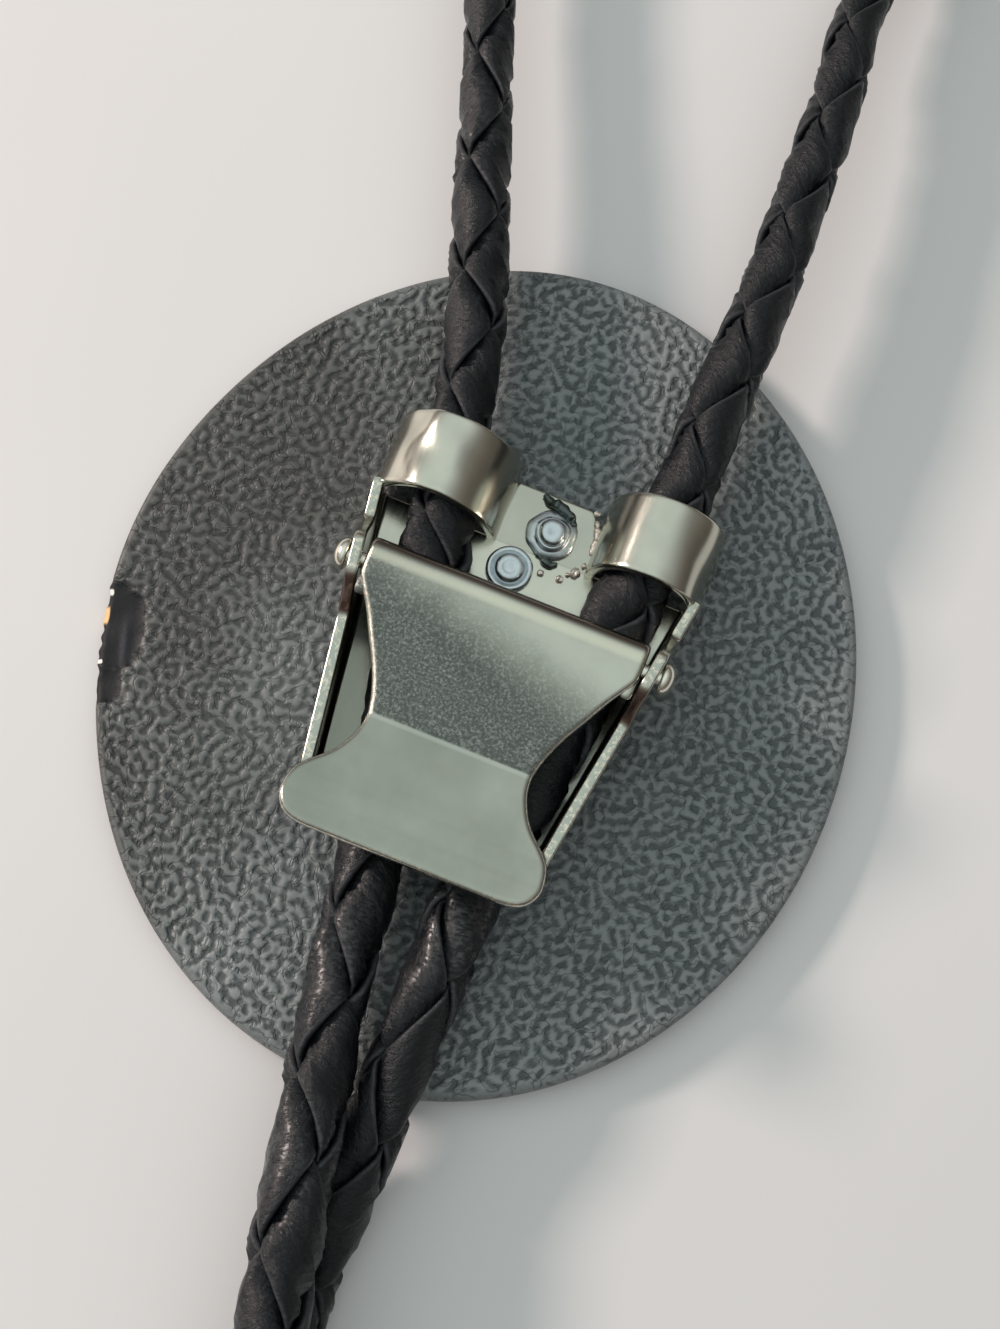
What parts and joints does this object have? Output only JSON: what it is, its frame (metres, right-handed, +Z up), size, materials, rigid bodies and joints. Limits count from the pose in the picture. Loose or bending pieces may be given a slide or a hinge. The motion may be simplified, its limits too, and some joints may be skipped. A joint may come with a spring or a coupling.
{
  "type": "bolo tie",
  "caption": "Bolo tie lying face down: oval cast slide with a hinged lever clasp that grips a braided leather cord with metal tips.",
  "frame": {"origin": "centre of the medallion's flat front, on the surface that it rests on", "axes": "+Z up, away from the surface; +Y along the cord towards the neck loop, square to the clasp's hinge line; +X to the right seen from above"},
  "size_m": [0.1959, 0.4089, 0.013],
  "materials": {
    "cast_metal": "dark gunmetal casting with a worm-track texture",
    "nickel": "satin nickel plate",
    "black_leather": "black braided leather with a soft sheen",
    "tip_metal": "plain satin metal"
  },
  "bodies": {
    "slide": {"medallion": "cast_metal", "clasp_base": "nickel", "hinge_rivet_left": "nickel", "hinge_rivet_right": "nickel", "cord_left": "black_leather", "cord_right": "black_leather", "tip_left": "tip_metal", "tip_right": "tip_metal"},
    "lever": {"clasp_lever": "nickel"}
  },
  "joints": [
    {"name": "lever_hinge", "type": "hinge", "parent": "slide", "child": "lever", "pos_m": [0.00045, 0.0024, 0.01], "axis": [-1, 0, 0], "range_deg": [0, 95]}
  ]
}
